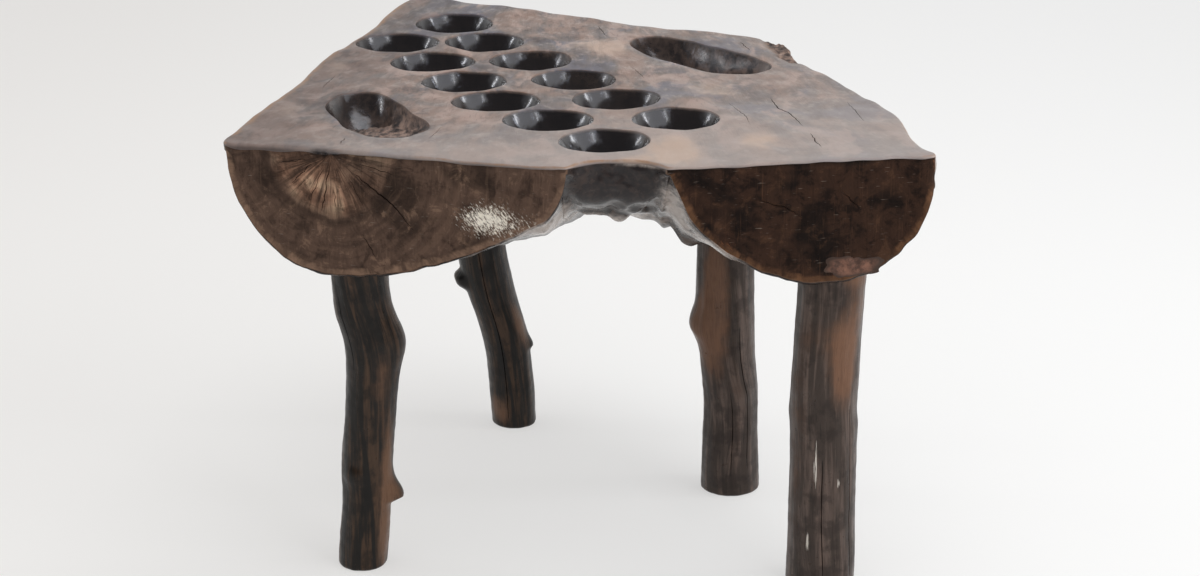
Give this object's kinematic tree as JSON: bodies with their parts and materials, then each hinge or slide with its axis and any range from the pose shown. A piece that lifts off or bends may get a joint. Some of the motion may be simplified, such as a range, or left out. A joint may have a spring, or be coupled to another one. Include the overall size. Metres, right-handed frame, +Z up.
{
  "type": "games table",
  "caption": "Low games table: a forked half-log slab with rows of carved seed pits and long stores in its flat top, standing on crooked branch legs.",
  "frame": {"origin": "centre of the object's box, at floor level", "axes": "+Z up, +Y from the fork towards the stem end, +X to the right as seen from the fork"},
  "size_m": [0.7672, 0.846, 0.5],
  "materials": {
    "slab_wood": "dark hardwood, oiled and worn to a satin sheen, bare end grain",
    "leg_wood": "near-black branch wood, rubbed to a satin sheen",
    "wedge_wood": "plain split hardwood",
    "filler": "reddish-brown wood filler, dull"
  },
  "bodies": {
    "root": {"slab": "slab_wood", "leg_front_left": "leg_wood", "leg_front_right": "leg_wood", "leg_back_left": "leg_wood", "leg_back_right": "leg_wood", "tenon_wedge_front_left": "wedge_wood", "tenon_wedge_front_right": "wedge_wood", "tenon_wedge_back_left": "wedge_wood", "tenon_wedge_back_right": "wedge_wood", "joint_filler_front_right": "filler"}
  },
  "joints": []
}
